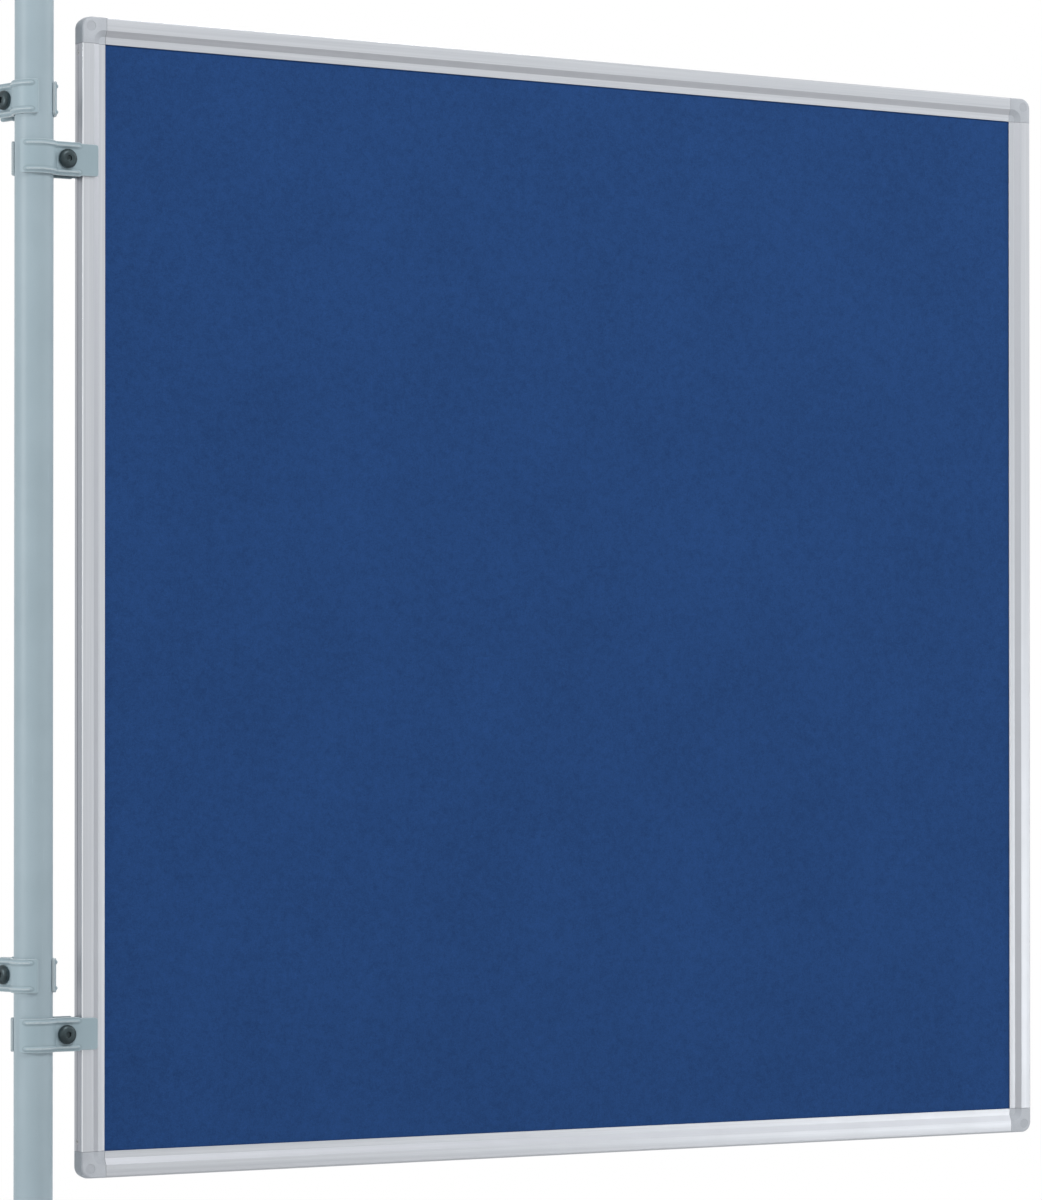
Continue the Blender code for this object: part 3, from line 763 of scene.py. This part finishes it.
def countersunk():
    """The screw's points turned about Z, its head's face up at the sink's depth, and its edge.

    The cross is pressed in where the distance to the nearer arm's middle line is small, and it
    is deepest at the centre.
    """
    profile = [(0, SCREW_REACH), (0.0005, SCREW_REACH - 0.0002)]
    profile += [(SCREW_SHANK, SCREW_REACH - SCREW_POINT), (SCREW_SHANK, SCREW_CONE)]
    profile += [(SCREW_HEAD, SCREW_SINK + FACE_ROUND), (SCREW_HEAD - 0.0001, SCREW_SINK)]
    profile += [(radius, SCREW_SINK) for radius in np.linspace(FACE_RING, 0, 16)]
    points = turned(profile, SCREW_SIDES)
    x, y = np.abs(points[..., 0]), np.abs(points[..., 1])
    away = np.hypot(x, y)
    face = points[..., 2] < SCREW_SINK + TOUCH
    arm = np.minimum(x, y) + CROSS_TAPER * np.maximum(x, y)
    groove = np.clip((CROSS_HALF - arm) / CROSS_FLANK, 0, 1)
    groove *= np.clip((CROSS_REACH - away) / CROSS_END, 0, 1)
    points[..., 2] += face * groove * CROSS_DEPTH
    edge = np.clip(1 - np.abs(away - SCREW_HEAD + FACE_ROUND) / FACE_WEAR, 0, 1)
    return points, edge * face


screw_zinc = plated("dull_zinc_screws", (158, 160, 163), (178, 179, 181), 0.85)
points, edge = countersunk()
for side, _, place, _ in sides:
    for end, along in zip(("first", "last"), SCREW_PLACES):
        name = f"{side}_{end}_sunk_screw"
        screw = shaped(name, points, turned_faces(points), screw_zinc, edge=edge)
        screw.data.transform(place @ Matrix.Translation((along, 0, 0)))
        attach(screw, "board")
        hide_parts(f"{side}_{end}_screw")


# Board core
# A 6 mm softboard of pressed wood fibre, sawn to the slot's size. The felts and the frame hide
# all of it but its edges.

softboard, sheet, place = new_finish("pressed_softboard", {"Specular IOR Level": 0.2})
fibres = place.stretched((260, 900, 260)).grains(1.0, 5.0, 0.7, 1.5)
layers = place.stretched((30, 1600, 30)).grains(1.0, 3.0, 0.6)
tone = (fibres * 0.6 + layers * 0.4).rising(0.3, 0.72)
tone = tone.between(linear(132, 100, 66), linear(190, 156, 114))
feed(softboard, Base_Color=tone, Roughness=0.86 + fibres * 0.12)
feed(softboard, Normal=raised(sheet, fibres, 0.6, 0.0002))
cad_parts["board_core"].material_slots[0].material = softboard


# Felts
# Needled blue felt, 1.5 mm thick, stretched over each face of the core and held under the lips.
# The lips press its edge down, and the free cloth stands slightly prouder inside them.

PANEL_INSET = 0.0165
FELT = 0.0015
CORE_HALF = 0.003
PROUD = 0.00035
SETTLING = 0.0035
WAVE = 0.00007
WAVE_SETTLING = 0.06


def sheet_faces(rows, columns):
    """The faces of a sheet whose two grids of points follow each other, with walls round them."""
    count = rows * columns
    quads = grid_faces(rows, columns)
    ids = np.arange(count).reshape(rows, columns)
    rim = np.concatenate([ids[0], ids[1:, -1], ids[-1, -2::-1], ids[-2:0:-1, 0]])
    after = np.roll(rim, -1)
    walls = np.column_stack([rim, after, after + count, rim + count])
    return np.concatenate([quads, quads[:, ::-1] + count, walls])


def felt_sheet(side):
    """One sheet of cloth at -Y or +Y: its outer face is a soft plateau that sinks to the lips.

    The height is the felt's thickness, plus a rise that settles within a few millimetres of
    the lip, plus low waves. The inner face lies flat on the core.
    """
    half = BOARD_SIDE / 2 - PANEL_INSET
    lip = BOARD_SIDE / 2 - LIP_EDGE
    near = np.array([
        0, 0.004, 0.008, 0.0108, 0.0115, 0.0122, 0.0132, 0.0148, 0.017, 0.020, 0.025, 0.033
    ])
    middle = np.linspace(0.045 - half, half - 0.045, 120)
    line = np.concatenate([near - half, middle, (half - near)[::-1]])
    x, z = np.meshgrid(line, line, indexing="ij")
    inside = lip - np.maximum(np.abs(x), np.abs(z))
    rise = PROUD * (1 - np.exp(-np.clip(inside, 0, None) / SETTLING))
    waves = np.sin(9.3 * x + 2.1 * np.sin(6.7 * z)) + np.sin(11.9 * z + 1.7 * np.sin(7.9 * x + 1))
    rise += WAVE * waves * np.clip(inside / WAVE_SETTLING, 0, 1)
    flat = np.full_like(x, CORE_HALF + FIT)
    outer = CORE_HALF + FIT + FELT + rise
    centre = (BOARD_LEFT + BOARD_SIDE / 2, 0, BOARD_LOW + BOARD_SIDE / 2)
    points = np.stack([np.stack([x, side * y, z], -1) for y in (outer, flat)]) + centre
    return points, sheet_faces(len(line), len(line))


def needled(name, colour):
    """Needled felt: matted fibres that lie all ways, a short pale fuzz and soft dye clouds."""
    constants = {"Specular IOR Level": 0.06, "Sheen Weight": 0.10, "Sheen Roughness": 0.5}
    constants["Sheen Tint"] = linear(120, 150, 205)
    made, sheet, place = new_finish(name, constants)
    one = place.stretched((2300, 800, 260), (0, 0.5, 0)).grains(1.0, 3.0, 0.6, 1.2)
    two = place.stretched((260, 800, 2300), (0, 0.9, 0)).grains(1.0, 3.0, 0.6, 1.2)
    mat = place.grains(520, 5.0, 0.72, 0.8)
    tufts = place.grains(120, 4.0, 0.65)
    dye = place.grains(7, 3.0, 0.55)
    fibre = one.either(two) * 0.6 + mat * 0.4
    tone = (fibre * 0.72 + tufts * 0.18 + dye * 0.10).rising(0.34, 0.70)
    tone = tone.between(toned(colour, 0.84), toned(colour, 1.12, 2))
    lint = place.grains(900, 2.0, 0.5, 2.0).rising(0.72, 0.78)
    tone = (lint * 0.25).between(tone, linear(116, 140, 184))
    feed(made, Base_Color=tone, Roughness=0.86 + fibre * 0.12)
    feed(made, Normal=raised(sheet, fibre + tufts * 0.8, 0.55, 0.0006))
    return made


blue_felt = needled("blue_needled_felt", (39, 73, 127))
for felt, side in (("front_felt", -1), ("back_felt", 1)):
    cloth = shaped(f"{felt}_stretched", *felt_sheet(side), blue_felt, 60)
    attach(cloth, "board")
    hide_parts(felt)


# Clamp halves
# Each clamp is two equal pressings of 3 mm steel, powder-painted like the pole: a saddle round
# the pole, a bent neck, and a jaw on the frame's rim that narrows to a tab with round corners.
# Two stiffening beads are pressed along each half, so they show as grooves on its inside.

SHEET = 0.003
SADDLE = POLE_RADIUS + FIT + SHEET / 2
JAW_MIDDLE = RAIL_HALF + FIT + SHEET / 2
NECK = 0.005
NECK_DEPTH = JAW_MIDDLE + NECK
NECK_PLACE = sqrt((SADDLE + NECK) ** 2 - NECK_DEPTH**2)
NECK_ANGLE = np.arctan2(NECK_PLACE, NECK_DEPTH)
FREE_END = radians(62)
SEAT = 0.0105
SCREW_X = NECK_PLACE + SEAT
HOLE = 0.0055
HOLE_COLUMNS = 48
PUNCH_HALF = 0.006
JAW_END = BOARD_LEFT + 0.0175
BEAD_START = 0.006
BEAD_END = SCREW_X + SEAT + 0.004
BEAD_WIDTH = 0.0056
BEAD_HEIGHT = 0.00145
BEAD_FLANK = 0.0024
BEAD_TAPER = 0.62
CLAMP_HALF = 0.0175
TAB_HALF = CLAMP_HALF - 0.001
SHOULDER = 0.002
PLAN_ROUND = 0.003
EDGE_SOFT = 0.0007
EDGE_WEAR_AND_HIGHLIGHT = 0.0011
CREST_WEAR_AND_HIGHLIGHT = 0.74
BEAD_FOOT_SHADE = 0.0005
CLAMP_CREASE = 35
CLAMP_INSET = 0.15
SPARE_RISE = 0.061
SPARE_TURN = 107


def smooth(value):
    """0 to 1 with level ends: three squares less two cubes."""
    value = np.clip(value, 0, 1)
    return value * value * (3 - 2 * value)


def strap_line(run):
    """The pressing's middle line in plan at a run along it, and its outward normal's angle.

    It follows the saddle's arc about the pole, a tight bend the other way, and a straight.
    """
    saddle_run = SADDLE * (FREE_END + NECK_ANGLE)
    neck_run = NECK * NECK_ANGLE
    on_saddle, on_neck = run < saddle_run, run < saddle_run + neck_run
    a = run / SADDLE - FREE_END
    b = NECK_ANGLE - (run - saddle_run) / NECK
    x = np.where(on_saddle, SADDLE * np.sin(a), NECK_PLACE - NECK * np.sin(b))
    y = np.where(on_saddle, -SADDLE * np.cos(a), NECK * np.cos(b) - NECK_DEPTH)
    x = np.where(on_neck, x, NECK_PLACE + run - saddle_run - neck_run)
    y = np.where(on_neck, y, -JAW_MIDDLE)
    return x, y, np.where(on_saddle, a, np.where(on_neck, b, 0.0))


def clamp_half_surface():
    """The pressed sheet as two faces on a grid of run along and height across, and its wear.

    Each face lies half a thickness from the middle line, thinner where the edge is rounded,
    and both are pushed outwards by the beads. A bead's height falls off with the distance to
    its middle line, which makes its ends round. The wear mark, which also carries a painted
    highlight, is high at edges and bead crests, and the foot, where a painted shade goes, is the
    line where a bead rises from the sheet.
    """
    total = SADDLE * (FREE_END + NECK_ANGLE) + NECK * NECK_ANGLE + JAW_END - NECK_PLACE
    stop = total - (JAW_END - BEAD_END)
    nose = PLAN_ROUND * (1 - np.cos(np.linspace(0, pi / 2, 11)))
    # The stations of the saddle, the neck, the jaw, the beads' ends with the shoulder, the tab.
    run = np.concatenate([
        nose,
        np.linspace(0.0036, 0.041, 64),
        np.linspace(0.0415, 0.0482, 22),
        np.linspace(0.0495, stop - 0.0065, 22),
        np.linspace(stop - 0.006, stop + 0.0024, 22),
        np.linspace(stop + 0.0032, total - 0.0036, 14),
        (total - nose)[::-1],
    ])[:, None]
    soft = CLAMP_HALF - EDGE_SOFT * (1 - np.cos(np.linspace(0, pi / 2, 6)))
    bead = np.linspace(SEAT + BEAD_WIDTH + 0.0003, SEAT - 0.0003, 19)
    upper = np.concatenate([soft, bead, np.linspace(0.0095, 0, 9)])
    share = np.concatenate([upper, -upper[-2::-1]]) / CLAMP_HALF
    x, y, normal = strap_line(run)
    end = np.minimum(run, total - run)
    half = CLAMP_HALF - (CLAMP_HALF - TAB_HALF) * smooth((run - stop) / SHOULDER)
    curve = np.clip(PLAN_ROUND - end, 0, None)
    half = half - PLAN_ROUND + np.sqrt(PLAN_ROUND**2 - curve**2)
    z = half * share
    to_edge = np.minimum(half - np.abs(z), end)
    inset = np.clip(EDGE_SOFT - to_edge, 0, None)
    thick = SHEET / 2 - EDGE_SOFT + np.sqrt(EDGE_SOFT**2 - inset**2)
    first, last = BEAD_START + BEAD_WIDTH / 2, stop - BEAD_WIDTH / 2
    over = np.clip(first - run, 0, None) + np.clip(run - last, 0, None)
    away = np.hypot(np.abs(z) - SEAT - BEAD_WIDTH / 2, over * BEAD_TAPER) - BEAD_WIDTH / 2
    bump = smooth(-away / BEAD_FLANK)
    out = [side * thick + BEAD_HEIGHT * bump for side in (1, -1)]
    faces = [np.stack([x + o * np.sin(normal), y - o * np.cos(normal), z], -1) for o in out]
    # Wear with a painted highlight: high at the edges and on the bead crests.
    wear = 1 - np.clip(to_edge / EDGE_WEAR_AND_HIGHLIGHT, 0, 1)
    wear = np.maximum(wear, CREST_WEAR_AND_HIGHLIGHT * smooth((bump - 0.6) / 0.4))
    # The foot mark places a painted shade where each bead rises from the sheet.
    foot = np.exp(-((away / BEAD_FOOT_SHADE) ** 2)) * (wear < 0.3)
    return np.stack(faces), np.stack([wear, wear]), np.stack([foot, foot])


def clamp_half_mesh(paint):
    """The pressing with the screw's hole punched through its jaw."""
    points, edge, foot = clamp_half_surface()
    faces = sheet_faces(*points.shape[1:3])
    pressing = shaped("clamp_pressing", points, faces, paint, CLAMP_CREASE, edge=edge, foot=foot)
    bore = [(0, -PUNCH_HALF), (HOLE, -PUNCH_HALF), (HOLE, PUNCH_HALF), (0, PUNCH_HALF)]
    bore = turned(bore, HOLE_COLUMNS)[..., [0, 2, 1]] + (SCREW_X, -JAW_MIDDLE, 0)
    punch = shaped("punch", bore, turned_faces(bore), paint)
    return punched(pressing, [punch], CLAMP_CREASE)


# The last share lightens edges and bead crests, partly as a painted highlight.
half_mesh = clamp_half_mesh(painted("clamp_powder_paint", (158, 178, 187), 0.6))
unturned = Matrix.Identity(4)
turned_over = Matrix.Rotation(pi, 4, "X")
spare = Matrix.Rotation(radians(SPARE_TURN), 4, "Z") @ turned_over
heights = (BOARD_LOW + CLAMP_INSET, board_top - CLAMP_INSET)
lower, upper = (Matrix.Translation((0, 0, height)) for height in heights)
above = Matrix.Translation((0, 0, SPARE_RISE))
clamps = [
    ("lower_clamp", lower, "board"),
    ("upper_clamp", upper, "board"),
    ("lower_spare", lower @ above @ spare, "lower_spare"),
    ("upper_spare", upper @ above @ spare, "upper_spare"),
]
for clamp, place, holder in clamps:
    for part, turn, body in (("front", unturned, f"{clamp}_jaw"), ("back", turned_over, holder)):
        pressing = copied(f"{clamp}_{part}_pressing", half_mesh, place @ turn)
        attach(pressing, body)
        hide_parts(f"{clamp}_{part}")


# Clamp screws
# Blackened M10 button-head screws, 40 mm long with a hex socket. Each goes through both halves
# beside the frame's edge and pulls them together.

SHANK = 0.005
SHANK_LENGTH = 0.040
SHANK_TIP = 0.0038
SHANK_CHAMFER = 0.0040
SHANK_TOP = -0.0012
HEAD = 0.010
HEAD_HEIGHT = 0.0055
HEAD_FLAT = 0.0045
HEAD_SIDE = 0.0012
PITCH = 0.0015
SCREW_THREAD = 0.00092
THREAD_TOP = -0.0022
THREAD_RUNOUT = 0.0012
THREAD_ROWS = 262
THREAD_WEAR = 0.7
RIM_WEAR = 0.0004
MOUTH_WEAR = 0.0005
SCREW_COLUMNS = 60
SOCKET_FLATS = 0.006


def hex_reach(flat, angle):
    """A hexagon's reach from its middle: half its width over the cosine to the nearest flat."""
    return flat / 2 / np.cos((angle + pi / 6) % (pi / 3) - pi / 6)


def thread_depth(angle, height):
    """0 on a right-hand thread's crest and 1 in its root, with narrow flats on both."""
    turn = (height / PITCH - angle / (2 * pi)) % 1
    return np.clip((np.abs(turn - 0.5) * 2 - 0.14) / 0.72, 0, 1)


def spread(profile, angle):
    """The radii and heights of a profile's rings at every angle, as two grids."""
    return [np.stack([value + 0 * angle for value in values]) for values in zip(*profile)]


def button_screw():
    """The screw as rings from its tip to the floor of its socket, and its edges.

    Each ring is round on the shank and the dome and hexagonal in the socket, and the thread
    is taken out of the shank's radius.
    """
    angle = np.linspace(0, 2 * pi, SCREW_COLUMNS, endpoint=False)
    z = np.linspace(-SHANK_LENGTH, SHANK_TOP, THREAD_ROWS)[:, None]
    chamfer = SHANK_CHAMFER + (z + SHANK_LENGTH)
    depth = SCREW_THREAD * thread_depth(angle, z) * smooth((THREAD_TOP - z) / THREAD_RUNOUT)
    shank = np.minimum(SHANK - depth, chamfer)
    tip = spread([(0, -SHANK_LENGTH), (SHANK_TIP, -SHANK_LENGTH)], angle)
    radii = (HEAD - HEAD_FLAT, HEAD_HEIGHT - HEAD_SIDE)
    dome = rounded((HEAD_FLAT, HEAD_SIDE), radii, 0, 90, 16)
    socket = hex_reach(SOCKET_FLATS, angle)
    top = [(SHANK, -0.0006), (SHANK, 0), (HEAD - 0.0005, 0), (HEAD, 0.0004), *dome]
    top += [(socket + 0.00035, HEAD_HEIGHT), (socket, 0.0052), (socket, 0.0024)]
    top = spread([*top, (socket * 0.96, 0.0022), (0, 0.0014)], angle)
    radius = np.concatenate([tip[0], shank, top[0]])
    height = np.concatenate([tip[1], z + 0 * angle, top[1]])
    rim = np.exp(-(((radius - HEAD) / RIM_WEAR) ** 2)) * (height > 0.0003)
    mouth = np.exp(-(((radius - socket) / MOUTH_WEAR) ** 2)) * (height > 0.005)
    crest = THREAD_WEAR * (height < -0.003) * (radius > SHANK - 0.0001)
    return polar(radius, angle, height), np.maximum(rim, np.maximum(mouth, crest))


black_steel = plated("blackened_steel", (44, 56, 60), (56, 70, 74), 0.55)
points, edge = button_screw()
seat = JAW_MIDDLE + SHEET / 2 + FIT
to_front = Matrix.Translation((SCREW_X, -seat, 0)) @ Matrix.Rotation(pi / 2, 4, "X")
for clamp, place, _ in clamps:
    name = f"{clamp}_button_screw"
    screw = shaped(name, points, turned_faces(points), black_steel, 32, edge=edge)
    screw.data.transform(place @ to_front)
    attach(screw, f"{clamp}_bolt")
    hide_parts(f"{clamp}_screw")


# Clamp nuts
# Zinc-plated steel hex nuts, 16 mm across their flats and 8 mm high. One lies on each clamp's
# back half, and the clamp's screw is turned into it.

NUT_FLATS = 0.016
NUT_HEIGHT = 0.008
NUT_FACE = 0.0078
NUT_CORNER = 0.0086
NUT_BORE = 0.0053
NUT_MOUTH = 0.0007
NUT_THREAD = 0.0006
NUT_CONE = tan(radians(28))
NUT_COLUMNS = 96


def hex_nut():
    """The nut as rings round its bore, and its corners.

    Its mouths are chamfered, its bore is threaded and its outside hexagonal. The outside's
    corners are cut by a cone on both faces, which leaves arcs on the flats.
    """
    angle = np.linspace(0, 2 * pi, NUT_COLUMNS, endpoint=False)
    outside = hex_reach(NUT_FLATS, angle)
    z = np.linspace(NUT_MOUTH, NUT_HEIGHT - NUT_MOUTH, 44)[:, None]
    ridge = NUT_THREAD * (1 - thread_depth(angle, z))
    thread = NUT_BORE + ridge * smooth(np.minimum(z, NUT_HEIGHT - z) / 0.001 - 0.6)
    cone = np.clip(outside - NUT_FACE, 0, None) * NUT_CONE + 0.0001
    mouth = NUT_BORE + NUT_THREAD
    rings = [(mouth, NUT_HEIGHT), (NUT_FACE, NUT_HEIGHT), (outside, NUT_HEIGHT - cone)]
    rings += [(outside, cone), (NUT_FACE, 0), (mouth, 0)]
    radii, levels = spread(rings, angle)
    radius = np.concatenate([thread, radii])
    height = np.concatenate([z + 0 * angle, levels])
    return polar(radius, angle, height), np.clip((radius - NUT_CORNER) / 0.0006, 0, 1)


nut_zinc = plated("zinc_plated_nuts", (184, 184, 178), (200, 198, 186), 0.9)
points, edge = hex_nut()
to_back = Matrix.Translation((SCREW_X, seat, 0)) @ Matrix.Rotation(-pi / 2, 4, "X")
for clamp, place, holder in clamps:
    name = f"{clamp}_hex_nut"
    nut = shaped(name, points, turned_faces(points, True), nut_zinc, edge=edge)
    nut.data.transform(place @ to_back)
    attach(nut, holder)
    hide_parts(f"{clamp}_nut")
